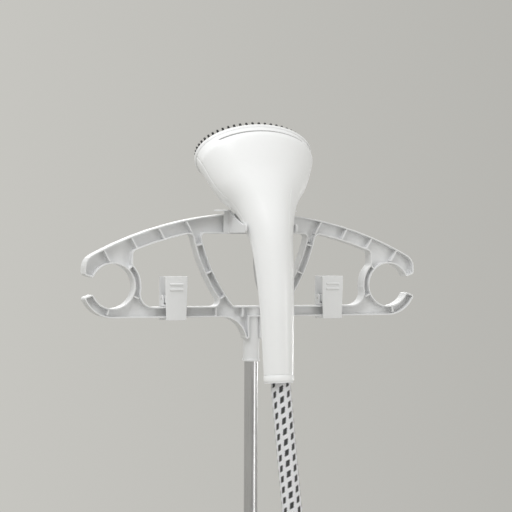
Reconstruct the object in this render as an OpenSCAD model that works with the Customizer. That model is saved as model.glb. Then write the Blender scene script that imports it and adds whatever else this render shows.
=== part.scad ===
// Upright garment steamer: a round floor base with a lift-out water tank, a two-stage pole,
// a trouser hanger with a cradle, and a hand-held steam head on a woven hose.
// Z is up, X is to the right and the floor is at z = 0, under the centre of the base.
// The user stands on the -Y side. The steam plate of the docked head faces +Y and up.

/* [Base] */
// Diameter of the base
base_d = 300; // [280:5:360]
// Height of the base's flat top above the floor
base_h = 150; // [145:5:180]
// Height of the line where the two base shells meet
base_split = 60; // [55:1:72]
// Gap between the floor and the lower shell
floor_gap = 10; // [8:1:12]
// Wall of the base shells
base_wall = 3; // [2:0.5:4]
// Radius of the base's top edge
base_edge_r = 25; // [10:1:30]
// Radius of a rear wheel
wheel_r = 24; // [18:1:28]
// Width of a rear wheel
wheel_w = 18; // [14:1:22]

/* [Water tank] */
// Diameter of the tank
tank_d = 148; // [124:2:160]
// Height of the tank's body
tank_h = 133; // [111:1:160]
// Wall of the tank
tank_wall = 2.5; // [1.5:0.5:3.5]
// Radius of the filling mouth
mouth_r = 16; // [12:1:18]

/* [Pole] */
// Diameter of the upper tube
pole_d = 16; // [13:0.1:20]
// Wall of both tubes
pole_wall = 1.2; // [0.8:0.1:1.4]
// Height of the lower tube's top end
lower_top = 760; // [700:10:790]
// Length of the upper tube inside the lower one at rest
pole_overlap = 90; // [60:5:120]
// Distance from the base's centre back to the pole
pole_back = 60; // [58:1:64]

/* [Hanger] */
// Height of the hanger's lower edge above the floor
hanger_z = 1330; // [1300:5:1400]
// Width over the two hooks
hanger_w = 411; // [380:1:495]
// Height of the hanger from the bar's lower edge to the top
hanger_h = 120.5; // [115:0.5:126]
// Depth of the hanger's edge flanges
hanger_depth = 16.5; // [15:0.5:21]
// Wall of the hanger's flanges and web
hanger_wall = 1.7; // [1.4:0.1:2.1]
// Height of the lower bar
bar_h = 12.5; // [11:0.5:15]
// Inner radius of a hook
hook_r = 25.2; // [21:0.1:26]
// Reach of the cradle's prongs in front of the hanger
fork_reach = 50.5; // [42:0.5:56]

/* [Clips] */
// Width of a clip
clip_w = 27; // [22:1:33]
// Height of a clip's front lever
clip_h = 50; // [44:1:56]
// Distance from the pole to a clip at rest
clip_x = 97.5; // [85:0.5:106]

/* [Steam head] */
// Width of the head over its rim
head_w = 146; // [124:1:160]
// Height of the head's oval rim, measured in the rim's own plane
head_d = 89; // [80:1:94]
// Diameter of the grip at its lower end
grip_d = 34; // [33:0.5:38]
// Wall of the head's shells
head_wall = 2; // [1.5:0.1:2.4]
// Number of bristle tufts
tufts = 40; // [24:2:56]

/* [Fits] */
// Gap between pieces that slide or turn on each other
slide_gap = 0.3; // [0.2:0.05:0.5]
// Gap round pins, tubes and screws that sit in a bore
pin_gap = 0.06; // [0.04:0.01:0.1]

/* [Hidden] */
$fn = 64;

// Base
base_r = base_d / 2;
top_in = base_h - base_wall;
screw_r = 2;
foot_r = 14;
foot_x = base_r * 0.53;
foot_y = -base_r * 0.63;
wheel_x = base_r * 0.57;
wheel_y = base_r * 0.64;
arch_gap = 2.5;
axle_r = 3;
socket_r = pole_d / 2 + 9;
socket_top = base_h + 36;
socket_floor = floor_gap + base_wall;
boiler_r = 38;
boiler_x = -66;
boiler_y = 8;
boiler_z = [30, 71];
tube_r = 4;
tube_z = base_h - 43;
pump_at = [30, 4];
water_z = 38;
tube_back = 102;
dial_x = -80;
dial_y = 52;
dial_r = 21;
button_x = -46;
button_y = 96;
button_r = 10;
port_x = 85;
port_y = 62;
port_r = 15;
port_top = 205;
boot_top = 240;

// Tank
tank_r = tank_d / 2;
tank_y = -base_r + base_wall * 2 + 17 + tank_r;
well_z = 80;
tank_z = well_z + 1.5;
tank_top = tank_z + tank_h;
well_r = tank_r + 1.2;
mouth_y = -30;
neck_wall = 2.5;
neck_h = 7;
cap_r = mouth_r + neck_wall + 2.5;
cap_h = 5;
cap_hinge = [mouth_y + cap_r + 4, tank_top + neck_h + 2];
bail_r = 4.5;
bail_z = tank_top - 14;
bail_x = tank_r + bail_r + 0.3;
bail_reach = tank_r + bail_r + 4;
valve_r = 10;

// Pole
upper_r = pole_d / 2;
lower_bore = upper_r + slide_gap;
lower_r = lower_bore + pole_wall;
upper_bottom = lower_top - pole_overlap;
collar_r = lower_r + 6.5;
collar_z = [lower_top - 22, lower_top + 26];
lever_pivot = [-collar_r - 5, collar_z[0] + 32];
lever_w = 16;

// Hanger: drawn in X and Z from the pole's axis and the bar's lower edge
hanger_ahead = 3.25;
hanger_front = -hanger_depth / 2 - hanger_ahead;
half_w = hanger_w / 2;
arm_r = half_w * 2.044;
arm_h = 16.5;
hook_x = half_w - 33.5;
hook_z = hook_r + 11.2;
hook_low_r = hook_z;
hook_gap_angle = 21;
hook_back_r = hook_r + 8.3;
web_depth = 8;
corner_r = 15;
brace_r = 201.5;
brace_w = 9.8;
brace_centre = [-125, hanger_h + 17.5];
stem_r = upper_r + 1.7;
stem_h = 52;
gusset_r = 29;
rib_step = 33;
rib_slope = 0.55;
saddle_r = 70;
saddle_dip = 4.5;
fork_z = 97;
fork_h = 25;
fork_x = 30;
fork_root = 8.5;
fork_wall = 2.2;
plate_t = 1.6;
stem_bore_top = bar_h - 2;

// Clips: the front lever stands just off the bar's front face
clip_pin_z = bar_h + 8.5;
clip_pin_r = 1.5;
clip_wall = 2.4;
clip_back = hanger_front + hanger_depth + 0.5;
clip_low = -3;
cheek_r = 5;

// Hose: where its upper end sits inside the grip
HOSE_TOP = [0, -18, 1328];

// Steam head: [y, z, tilt, half width, half depth] from the grip's end up to the rim,
// from the pole's axis and the hanger's lower edge
RIM_TILT = 54;
rim_y = -6;
rim_z = 185;
rim_band = 14;
lip = 2;
rim_a = head_w / 2 - lip;
rim_b = head_d / 2 - lip;
HEAD = [[-83.2, -62.5, 5, grip_d / 2, grip_d / 2],
    [-77, 12, 7, grip_d / 2 + 2.5, grip_d / 2 + 2.5],
    [-69, 60, 10, grip_d / 2 + 5, grip_d / 2 + 5],
    [-59, 94, 16, grip_d / 2 + 8.5, grip_d / 2 + 8.5],
    [-43.5, 126, 28, rim_a * 0.52, rim_b * 0.7],
    [-30, 149, 42, rim_a * 0.78, rim_b * 0.84],
    [rim_y - rim_band * sin(RIM_TILT), rim_z - rim_band * cos(RIM_TILT), RIM_TILT,
        rim_a - 2, rim_b - 1],
    [rim_y, rim_z, RIM_TILT, rim_a, rim_b]];
HEAD_RINGS = 24;
HEAD_SIDES = 14;
grip_tilt = 5;
collar_h = 9.5;
trigger_w = 23;
trigger_pivot = [-47, 86];
trigger_pin_r = 1.6;
chamber_t = 11;
chamber_back = 5 + chamber_t;
nipple_at = [HOSE_TOP[1] - pole_back, HOSE_TOP[2] - hanger_z];
rim_normal = [sin(RIM_TILT), cos(RIM_TILT)];
grip_axis = [sin(grip_tilt), cos(grip_tilt)];
pipe_low = nipple_at + 10 * grip_axis;
pipe_mid = nipple_at + 46 * grip_axis;
pipe_up = nipple_at + 64 * grip_axis;
pipe_neck = nipple_at + 98 * grip_axis;

// Hose: its centre line from the grip down to the base, outer radius and ring sides
HOSE_R = 11.5;
HOSE_SIDES = 10;
HOSE = [HOSE_TOP, [0.5, -20.5, 1300], [1.2, -22.7, 1275], [2.2, -24.8, 1252],
    [5, -28, 1212], [9, -31, 1160], [14, -33.5, 1105], [20, -35, 1050], [28, -35, 995],
    [39, -33, 940], [53, -28, 885], [69, -20, 830], [87, -9, 775], [105, 4, 722],
    [122, 18, 668], [136, 32, 614], [146, 44, 560], [151, 54, 505], [151, 62, 450],
    [145, 67, 400], [134, 69, 355], [119, 68, 317], [104, 66, 289], [92, 63.5, 264],
    [85, 62, 240]];

// --- Helpers ---

// A disc or tube along X, centred on x
module along_x(x, y, z, r, l) translate([x - l / 2, y, z]) rotate([0, 90, 0]) cylinder(h = l, r = r);

// A round bar from one point to another
module bar(p, q, r) {
    d = q - p;
    l = norm(d);
    translate(p) rotate([0, acos(d[2] / l), atan2(d[1], d[0])]) cylinder(h = l, r = r);
}

// An upright tube from one height to another
module pipe(z0, z1, r_out, r_in) translate([0, 0, z0]) difference() {
    cylinder(h = z1 - z0, r = r_out);
    translate([0, 0, -1]) cylinder(h = z1 - z0 + 2, r = r_in);
}

// A point [y, z] as a point in space
function yz(p) = [0, p[0], p[1]];

// A drawing in X and Z stood upright, with its front face at y = front
module upright(front, depth) translate([0, front + depth, 0]) rotate([90, 0, 0])
    linear_extrude(depth) children();

module both() {
    children();
    mirror([1, 0, 0]) children();
}

// Places what is drawn from the hanger's own zero
module at_hanger() translate([0, pole_back, hanger_z]) children();

// Places what is drawn on the head's rim: local Z leaves the steam plate
module at_rim() at_hanger() translate([0, rim_y, rim_z]) rotate([-RIM_TILT, 0, 0]) children();

module ellipse(a, b, n = 60) polygon([for (i = [0:n - 1]) [a * cos(i * 360 / n), b * sin(i * 360 / n)]]);

module oval_ring(a, b, width, n = 60) difference() {
    ellipse(a, b, n);
    ellipse(a - width, b - width, n);
}

// --- Base ---

// Outer profile of the base, inset by w
module base_profile(w) {
    difference() {
        translate([0, floor_gap + w]) square([base_r - w, base_h - floor_gap - 2 * w]);
        translate([base_r - base_edge_r, base_h - base_edge_r]) difference() {
            square(base_edge_r + 1);
            circle(base_edge_r - w);
        }
        translate([base_r - 14, floor_gap + 14]) mirror([0, 1]) difference() {
            square(15);
            circle(14 - w);
        }
    }
}

module base_round(w, z0, z1) rotate_extrude($fn = 96) intersection() {
    base_profile(w);
    translate([0, z0]) square([base_r + 1, z1 - z0]);
}

module wheel_arch(w) {
    l = 2 * (wheel_r + arch_gap + w);
    translate([wheel_x - wheel_w / 2 - arch_gap - w, wheel_y - l / 2, -1])
        cube([wheel_w + 2 * arch_gap + 2 * w, l, wheel_r * 2 + arch_gap + w + 1]);
}

module base_lower_shell() color("whitesmoke") difference() {
    union() {
        difference() {
            base_round(0, 0, base_split);
            base_round(base_wall, 0, base_split + 1);
        }
        intersection() {
            both() wheel_arch(base_wall - 0.5);
            base_round(0.5, 0, base_split);
        }
        for (a = [35, 145, 215, 325]) rotate([0, 0, a])
            translate([base_r - 22, 0, floor_gap + 1]) cylinder(h = base_split - floor_gap - 1.5, r = 6);
    }
    both() wheel_arch(0);
    for (a = [35, 145, 215, 325]) rotate([0, 0, a]) translate([base_r - 22, 0, 0]) {
        translate([0, 0, floor_gap - 1]) cylinder(h = base_split, r = screw_r + pin_gap);
        translate([0, 0, floor_gap - 1]) cylinder(h = 9, r = 4.4);
    }
    both() along_x(wheel_x, wheel_y, wheel_r, axle_r + pin_gap, wheel_w + 20);
    translate([0, base_r - 10, 36]) rotate([-90, 0, 0]) cylinder(h = 20, r = 8 + pin_gap);
}

module base_upper_shell() color("white") difference() {
    union() {
        difference() {
            base_round(0, base_split, base_h);
            base_round(base_wall, base_split - 1, base_h);
        }
        translate([0, tank_y, 0]) pipe(well_z - base_wall, base_h - 1, well_r + base_wall, well_r);
        translate([0, tank_y, well_z - base_wall]) cylinder(h = base_wall, r = well_r + 1);
        for (a = [35, 145, 215, 325]) rotate([0, 0, a])
            translate([base_r - 22, 0, base_split]) cylinder(h = top_in - base_split + 1, r = 6);
    }
    translate([0, tank_y, well_z]) cylinder(h = base_h, r = well_r);
    translate([0, tank_y, 0]) cylinder(h = base_h, r = valve_r + slide_gap + 0.7);
    translate([0, pole_back, base_split]) cylinder(h = base_h, r = socket_r + slide_gap);
    translate([dial_x, dial_y, base_split]) cylinder(h = base_h, r = 4 + slide_gap);
    translate([button_x, button_y, base_split]) cylinder(h = base_h, r = button_r + slide_gap);
    translate([port_x, port_y, base_split]) cylinder(h = base_h, r = 9 + pin_gap);
    translate([-112, 18, base_split + 5]) cylinder(h = base_h, r = 4 + pin_gap);
    for (a = [35, 145, 215, 325]) rotate([0, 0, a])
        translate([base_r - 22, 0, base_split - 1]) cylinder(h = 16, r = screw_r + pin_gap);
}

module base_screws() color("silver") for (a = [35, 145, 215, 325]) rotate([0, 0, a])
    translate([base_r - 22, 0, floor_gap + 5.2]) {
        cylinder(h = 2.8, r = 4);
        cylinder(h = base_split - floor_gap + 6, r = screw_r);
    }

module rubber_feet() color("dimgray") both() translate([foot_x, foot_y, 0]) rotate_extrude()
    polygon([[0, 0], [foot_r - 2, 0], [foot_r, 2], [foot_r, floor_gap], [0, floor_gap]]);

module wheel(x) color("dimgray") translate([x - wheel_w / 2, wheel_y, wheel_r]) rotate([0, 90, 0])
    rotate_extrude($fn = 72) difference() {
        union() {
            translate([axle_r + slide_gap, 0]) square([wheel_r - axle_r - slide_gap - 3, wheel_w]);
            translate([axle_r + slide_gap, 3]) square([wheel_r - axle_r - slide_gap, wheel_w - 6]);
            translate([wheel_r - 3, 3]) circle(3);
            translate([wheel_r - 3, wheel_w - 3]) circle(3);
        }
        translate([9, -1]) square([8, 3.5]);
        translate([9, wheel_w - 2.5]) square([8, 3.5]);
    }

module wheel_left() wheel(-wheel_x);
module wheel_right() wheel(wheel_x);

module wheel_axles() color("silver") both()
    along_x(wheel_x, wheel_y, wheel_r, axle_r, wheel_w + 2 * arch_gap + 2 * base_wall - 1.4);

module pole_socket() color("white") translate([0, pole_back, 0]) difference() {
    union() {
        pipe(socket_floor, socket_top, socket_r, 1);
        pipe(base_h, base_h + 4, socket_r + 8, socket_r - 1);
        pipe(socket_floor, socket_floor + 4, socket_r + 6, 1);
    }
    translate([0, 0, socket_floor + 8]) cylinder(h = socket_top, r = lower_r + pin_gap);
    translate([0, 0, socket_floor - 1]) cylinder(h = 20, r = 2);
}

module boiler() color("silver") translate([boiler_x, boiler_y, 0]) difference() {
    union() {
        translate([0, 0, boiler_z[0]]) cylinder(h = boiler_z[1] - boiler_z[0], r = boiler_r);
        translate([0, 0, socket_floor]) pipe(0, boiler_z[0] - socket_floor, 9, 4);
    }
    translate([0, 0, boiler_z[0] - 1]) rotate_extrude() translate([boiler_r - 14, 0]) square([6, 6]);
}

module heating_element() color("dimgray") translate([boiler_x, boiler_y, boiler_z[0]]) rotate_extrude()
    translate([boiler_r - 13.9, -1]) square([5.8, 5.7]);

module thermostat() color("gray") translate([boiler_x, boiler_y, boiler_z[1]]) cylinder(h = 4.5, r = 8);

module pump() color("gray") translate([pump_at[0], pump_at[1], socket_floor]) {
    cube([34, 28, 34]);
    translate([17, 14, 34]) cylinder(h = 6, r = 9);
}

module water_tube() color("lightgray") {
    bend = [pump_at[0] + 15, tank_y, water_z];
    translate([0, tank_y, 0]) {
        pipe(56, well_z - base_wall, valve_r + 5, valve_r + 1);
        translate([0, 0, 52]) cylinder(h = 4, r = valve_r + 5);
        translate([0, 0, water_z]) cylinder(h = 52 - water_z, r = tube_r);
        translate([0, 0, water_z]) sphere(tube_r + 0.6);
    }
    bar([0, tank_y, water_z], bend, tube_r);
    translate(bend) sphere(tube_r + 0.6);
    bar(bend, [bend[0], pump_at[1], water_z], tube_r);
    bar([pump_at[0], boiler_y + 10, water_z], [boiler_x + boiler_r - 0.4, boiler_y + 10, water_z], tube_r);
}

module steam_tube() color("silver") {
    p = [[boiler_x - 16, boiler_y, boiler_z[1]], [boiler_x - 16, boiler_y, tube_z],
        [boiler_x - 16, tube_back, tube_z], [port_x, tube_back, tube_z], [port_x, port_y, tube_z],
        [port_x, port_y, base_h - 12]];
    for (i = [0:4]) bar(p[i], p[i + 1], tube_r);
    for (i = [1:4]) translate(p[i]) sphere(tube_r + 0.6);
}

module control_dial() color("gainsboro") translate([dial_x, dial_y, base_h + 0.4]) difference() {
    union() {
        cylinder(h = 13, r = dial_r);
        translate([-2.5, 0, 13]) cube([5, dial_r - 3, 1.2]);
        translate([0, 0, -base_wall - 8]) cylinder(h = base_wall + 9, r = 4);
    }
    for (i = [0:17]) rotate([0, 0, i * 20]) translate([dial_r + 0.6, 0, 3]) cylinder(h = 12, r = 1.5);
}

module dial_switch() color("dimgray") translate([dial_x, dial_y, 0]) difference() {
    translate([-14, -14, top_in - 24]) cube([28, 28, 24]);
    translate([0, 0, top_in - 12]) cylinder(h = 20, r = 4 + slide_gap);
}

module power_button() color("gainsboro") translate([button_x, button_y, 0]) {
    translate([0, 0, top_in - 1]) cylinder(h = base_wall + 5, r = button_r);
    translate([0, 0, top_in - 9]) cylinder(h = 9, r = 3);
}

module button_switch() color("dimgray") translate([button_x, button_y, 0]) difference() {
    translate([-9, -7, top_in - 29]) cube([18, 14, 20]);
    translate([0, 0, top_in - 17]) cylinder(h = 20, r = 3 + slide_gap);
}

module pilot_lens() color("orange") translate([-112, 18, top_in - 3]) {
    cylinder(h = base_wall + 4, r = 4);
    translate([0, 0, 0]) cylinder(h = 2.9, r = 5.5);
}

module cord_gland() color("dimgray") translate([0, base_r - base_wall - 6, 36]) rotate([-90, 0, 0])
    difference() {
        union() {
            cylinder(h = base_wall + 5.5, r = 8);
            cylinder(h = 4, r = 10);
        }
        translate([0, 0, -1]) cylinder(h = 20, r = 4);
    }

// --- Hose ---

module hose_connector() color("gainsboro") translate([port_x, port_y, 0]) difference() {
    union() {
        translate([0, 0, base_h]) cylinder(h = 5, r = port_r + 4);
        translate([0, 0, base_h + 5]) cylinder(h = port_top - base_h - 5, r = port_r);
        translate([0, 0, base_h - 12]) cylinder(h = 14, r = 9);
    }
    translate([0, 0, base_h - 3]) cylinder(h = 80, r = tube_r);
    for (i = [0:11]) rotate([0, 0, i * 30]) translate([port_r + 1, 0, base_h + 12])
        cylinder(h = port_top - base_h - 20, r = 2);
}

module hose_boot() color("gainsboro") translate([port_x, port_y, port_top]) difference() {
    rotate_extrude() polygon([[0, 0], [port_r, 0], [port_r, 6], [HOSE_R + 1.5, boot_top - port_top],
        [0, boot_top - port_top]]);
    translate([0, 0, -1]) cylinder(h = 60, r = tube_r);
}

// Direction of the hose at point i, and its ring there
function hose_dir(i) =
    let (d = HOSE[min(i + 1, len(HOSE) - 1)] - HOSE[max(i - 1, 0)])
    i == 0 ? [0, -sin(grip_tilt), -cos(grip_tilt)]
    : i == len(HOSE) - 1 ? [0, 0, -1]
    : d / norm(d);

function hose_ring(i) =
    let (d = hose_dir(i), u = cross(d, [0, 1, 0]) / norm(cross(d, [0, 1, 0])), v = cross(d, u))
    [for (k = [0:HOSE_SIDES - 1]) let (a = k * 360 / HOSE_SIDES)
        HOSE[i] + HOSE_R * (cos(a) * u + sin(a) * v)];

module steam_hose() color("white") {
    n = len(HOSE);
    m = HOSE_SIDES;
    points = [for (i = [0:n - 1]) each hose_ring(i)];
    walls = [for (i = [0:n - 2], k = [0:m - 1]) let (l = (k + 1) % m)
        [i * m + k, i * m + l, (i + 1) * m + l, (i + 1) * m + k]];
    ends = [[for (k = [m - 1:-1:0]) k], [for (k = [0:m - 1]) (n - 1) * m + k]];
    polyhedron(points, concat(walls, ends), convexity = 4);
}

// --- Water tank ---

module at_tank() translate([0, tank_y, 0]) children();

module tank_body() color("lightblue") at_tank() difference() {
    union() {
        rotate_extrude($fn = 96) difference() {
            offset_profile(0);
            offset_profile(tank_wall);
        }
        translate([0, mouth_y, tank_top - tank_wall]) cylinder(h = neck_h + tank_wall, r = mouth_r + neck_wall);
        for (s = [-1, 1]) translate([s * 8 - 3, cap_hinge[0] - 3.5, tank_top - 1])
            cube([6, 7, cap_hinge[1] - tank_top + 4]);
        both() along_x(tank_r - 3, 0, bail_z, 6, 4);
    }
    translate([0, mouth_y, tank_top - 10]) cylinder(h = 30, r = mouth_r);
    translate([0, 0, tank_z - 1]) cylinder(h = tank_wall + 2, r = valve_r - 3 + pin_gap);
    along_x(0, cap_hinge[0], cap_hinge[1], 1.5 + pin_gap, 40);
    both() along_x(tank_r, 0, bail_z, 2.5 + slide_gap, 8.6);
}

// Tank profile with rounded top edge, inset by w
module offset_profile(w) difference() {
    translate([0, tank_z + w]) square([tank_r - w, tank_h - 2 * w]);
    translate([tank_r - 12, tank_top - 12]) difference() {
        square(13);
        circle(12 - w);
    }
}

module tank_valve() color("white") at_tank() {
    translate([0, 0, tank_z - 1.4 - 12]) cylinder(h = 12, r = valve_r - 3);
    translate([0, 0, tank_z - 1.4]) cylinder(h = 1.4, r = valve_r);
    translate([0, 0, tank_z]) cylinder(h = 8, r = valve_r - 3);
}

module tank_seal() color("dimgray") at_tank()
    translate([0, 0, tank_z - 5.4]) pipe(0, 4, valve_r, valve_r - 3);

module tank_cap() color("white") at_tank() difference() {
    union() {
        translate([0, mouth_y, tank_top + neck_h + slide_gap]) cylinder(h = cap_h, r = cap_r);
        translate([0, mouth_y, tank_top + neck_h - 3]) cylinder(h = 4, r = mouth_r - 1.2);
        translate([-4.7, mouth_y, tank_top + neck_h + slide_gap])
            cube([9.4, cap_hinge[0] - mouth_y, cap_h]);
        along_x(0, cap_hinge[0], cap_hinge[1], 3.4, 9.4);
        translate([-8, mouth_y - cap_r - 3, tank_top + neck_h + slide_gap]) cube([16, 8, 3]);
    }
    along_x(0, cap_hinge[0], cap_hinge[1], 1.5 + pin_gap, 40);
}

module cap_pin() color("silver") at_tank() along_x(0, cap_hinge[0], cap_hinge[1], 1.5, 22);

module tank_handle() color("gainsboro") at_tank() {
    both() {
        along_x(bail_x, 0, bail_z, 7, 2 * bail_r - 2);
        along_x(bail_x - bail_r - 1, 0, bail_z, 2.5, 5);
        translate([bail_x - bail_r + 1, -bail_reach, bail_z - bail_r])
            cube([2 * bail_r - 2, bail_reach, 2 * bail_r]);
    }
    along_x(0, -bail_reach, bail_z, bail_r, 2 * bail_x + 2 * bail_r - 2);
    along_x(0, -bail_reach, bail_z, bail_r + 3, 90);
}

// --- Pole ---

module at_pole() translate([0, pole_back, 0]) children();

module lower_tube() color("silver") at_pole() pipe(socket_floor + 8, lower_top, lower_r, lower_bore);

module upper_tube() color("silver") at_pole()
    pipe(upper_bottom, hanger_z + stem_bore_top, upper_r, upper_r - pole_wall);

module tube_bush() color("dimgray") at_pole() translate([0, 0, upper_bottom - 12]) difference() {
    union() {
        cylinder(h = 12, r = lower_bore - 0.1);
        cylinder(h = 24, r = upper_r - pole_wall - pin_gap);
    }
    translate([0, 0, -1]) cylinder(h = 30, r = upper_r - pole_wall - 2);
}

module lock_collar() color("white") at_pole() difference() {
    union() {
        pipe(collar_z[0], collar_z[1], collar_r, 1);
        for (s = [-1, 1]) translate([lever_pivot[0] - 5, s * (lever_w / 2 + 2) - 1.7, lever_pivot[1] - 7])
            cube([17, 3.4, 14]);
    }
    translate([0, 0, collar_z[0] - 1]) cylinder(h = lower_top - collar_z[0] + 1, r = lower_r + pin_gap);
    translate([0, 0, lower_top - 1]) cylinder(h = 60, r = lower_bore);
    translate([lever_pivot[0] - 1, -lever_w, lever_pivot[1]]) rotate([-90, 0, 0])
        cylinder(h = 2 * lever_w, r = 2 + pin_gap);
}

module lock_lever() color("dimgray") at_pole() difference() {
    union() {
        translate([lever_pivot[0] - 1, -lever_w / 2, lever_pivot[1]]) rotate([-90, 0, 0])
            cylinder(h = lever_w, r = 4.6);
        translate([lever_pivot[0] - 6, -lever_w / 2, lever_pivot[1] - 38]) cube([4.6, lever_w, 38]);
    }
    translate([lever_pivot[0] - 1, -lever_w, lever_pivot[1]]) rotate([-90, 0, 0])
        cylinder(h = 2 * lever_w, r = 2 + slide_gap);
}

module lock_pin() color("silver") at_pole() translate([lever_pivot[0] - 1, -lever_w / 2 - 4, lever_pivot[1]])
    rotate([-90, 0, 0]) cylinder(h = lever_w + 8, r = 2);

// --- Hanger ---

// Rounds the outer corners of a drawing
module soften(r) offset(r = r, $fn = 20) offset(delta = -r) children();

module hanger_silhouette() {
    intersection() {
        soften(16) intersection() {
            translate([0, hanger_h - arm_r]) circle(arm_r, $fn = 120);
            translate([-half_w, -60]) square([hanger_w, hanger_h + 60]);
        }
        translate([-half_w, hook_z]) square([hanger_w, hanger_h]);
    }
    translate([-hook_x, 0]) square([2 * hook_x, hook_z + 0.1]);
    both() translate([hook_x, hook_z]) circle(hook_low_r, $fn = 48);
    difference() {
        translate([-stem_r - gusset_r - 1, -gusset_r]) square([2 * (stem_r + gusset_r + 1), gusset_r + 1]);
        both() translate([stem_r + gusset_r + 1, -gusset_r]) circle(gusset_r);
        translate([-stem_r * 0.7, -gusset_r - 1]) square([stem_r * 1.4, gusset_r + 1]);
    }
}

module hook_opening() {
    circle(hook_r, $fn = 48);
    intersection() {
        polygon([[0, 0], [60, 60 * tan(hook_gap_angle)], [60, -60 * tan(hook_gap_angle)]]);
        translate([0, -hook_r]) square([80, 2 * hook_r]);
    }
}

// Wide fillet where the hook's back meets the bar
module hook_fillet() {
    z = bar_h + corner_r;
    x = hook_x - sqrt(pow(hook_back_r + corner_r, 2) - pow(z - hook_z, 2));
    difference() {
        polygon([[x, bar_h - 1], [hook_x, bar_h - 1], [hook_x, hook_z], [x, z]]);
        translate([x, z]) circle(corner_r);
    }
}

module side_opening() soften(6) difference() {
    intersection() {
        translate([0, hanger_h - arm_r]) circle(arm_r - arm_h, $fn = 120);
        translate([0, bar_h]) square([hook_x - 23.5, hanger_h]);
    }
    translate(brace_centre) circle(brace_r + brace_w / 2, $fn = 72);
    translate([hook_x, hook_z]) circle(hook_back_r, $fn = 48);
    hook_fillet();
}

module centre_opening() soften(4) intersection() {
    translate([-100, bar_h]) square([200, fork_z - 1 - bar_h]);
    translate(brace_centre) circle(brace_r - brace_w / 2, $fn = 72);
    translate([-brace_centre[0], brace_centre[1]]) circle(brace_r - brace_w / 2, $fn = 72);
}

module hanger_outline() soften(2.4) difference() {
    hanger_silhouette();
    both() side_opening();
    centre_opening();
    translate([0, hanger_h + saddle_r - saddle_dip]) circle(saddle_r);
    both() translate([hook_x, hook_z]) hook_opening();
}

// Stiffening ribs of one side, as strips that the outline trims
module rib_strips() {
    for (i = [0:3]) let (x = half_w * 0.415 + i * rib_step * hanger_w / 411, z = hanger_h - x * x / (2 * arm_r))
        translate([x, z]) rotate(-atan(rib_slope)) translate([-hanger_wall / 2, -arm_h - 2])
            square([hanger_wall, arm_h + 2]);
    for (x = [14, 47]) translate([x, 0]) square([hanger_wall, bar_h]);
    for (a = [135, 205, 281]) translate([hook_x, hook_z]) rotate(a)
        translate([hook_r, -hanger_wall / 2]) square([hook_back_r - hook_r, hanger_wall]);
    for (t = [0.08, 0.5, 0.91]) let (a = -14 - 23 * t) translate(brace_centre) rotate(a)
        translate([brace_r - brace_w / 2, -hanger_wall / 2]) square([brace_w, hanger_wall]);
}

// One side of the cradle: a prong whose top edge falls away under the head's flare, its root
// on the arm's end and a thin plate above
module fork_side() {
    front = hanger_front - fork_reach;
    top = fork_z + fork_h;
    translate([fork_x, 0, 0]) rotate([90, 0, 90]) linear_extrude(fork_wall) soften(3)
        polygon([[hanger_front + 8, fork_z], [front, fork_z], [front, fork_z + 10],
            [-52, fork_z + 9.5], [-28, top - 8], [-14, top], [hanger_front + 8, top]]);
    translate([fork_x, hanger_front, fork_z]) cube([fork_root, 3, fork_h + plate_t]);
    translate([fork_x, 0, top]) linear_extrude(plate_t) polygon([[0, hanger_front + 0.4], [0, hanger_front - 0.5],
        [9.5, -26], [14, -25], [21, hanger_front - 4], [21, hanger_front + 0.4]]);
}

module hanger_frame() color("white") at_hanger() difference() {
    union() {
        difference() {
            upright(hanger_front, hanger_depth) hanger_outline();
            upright(hanger_front - 1, web_depth + 1) offset(delta = -hanger_wall) hanger_outline();
            upright(hanger_front + web_depth + hanger_wall, hanger_depth) offset(delta = -hanger_wall)
                hanger_outline();
        }
        upright(hanger_front + 0.5, web_depth) intersection() {
            offset(delta = -hanger_wall / 2) hanger_outline();
            both() rib_strips();
        }
        translate([0, 0, -stem_h]) cylinder(h = stem_h + bar_h - hanger_wall / 2, r = stem_r);
        translate([0, 0, -stem_h]) cylinder(h = 2.5, r = stem_r + 0.8);
        both() fork_side();
    }
    translate([0, 0, -stem_h - 1]) cylinder(h = stem_h + 1 + stem_bore_top, r = upper_r + pin_gap);
}

// --- Trouser clips, drawn at x = 0 of the clip ---

module at_clip(s) at_hanger() translate([s * clip_x, 0, 0]) children();

module clip_body(s) color("white") at_clip(s) difference() {
    union() {
        translate([-clip_w / 2, clip_back, clip_low]) cube([clip_w, clip_wall, clip_h]);
        translate([-clip_w / 2, hanger_front + 1, bar_h + slide_gap])
            cube([clip_w, clip_back - hanger_front, 2]);
        for (x = [-clip_w / 2, clip_w / 2 - 2]) {
            translate([x, -cheek_r, bar_h + slide_gap]) cube([2, clip_back + cheek_r + 1, clip_pin_z - bar_h]);
            along_x(x + 1, 0, clip_pin_z, cheek_r, 2);
        }
        translate([-clip_w / 2, 2, clip_low]) cube([clip_w, clip_back - 1, -clip_low - slide_gap]);
        for (z = [30, 36]) translate([-8, clip_back + clip_wall - 0.5, z]) cube([16, 1.5, 2]);
    }
    along_x(0, 0, clip_pin_z, clip_pin_r + pin_gap, clip_w + 10);
}

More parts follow.
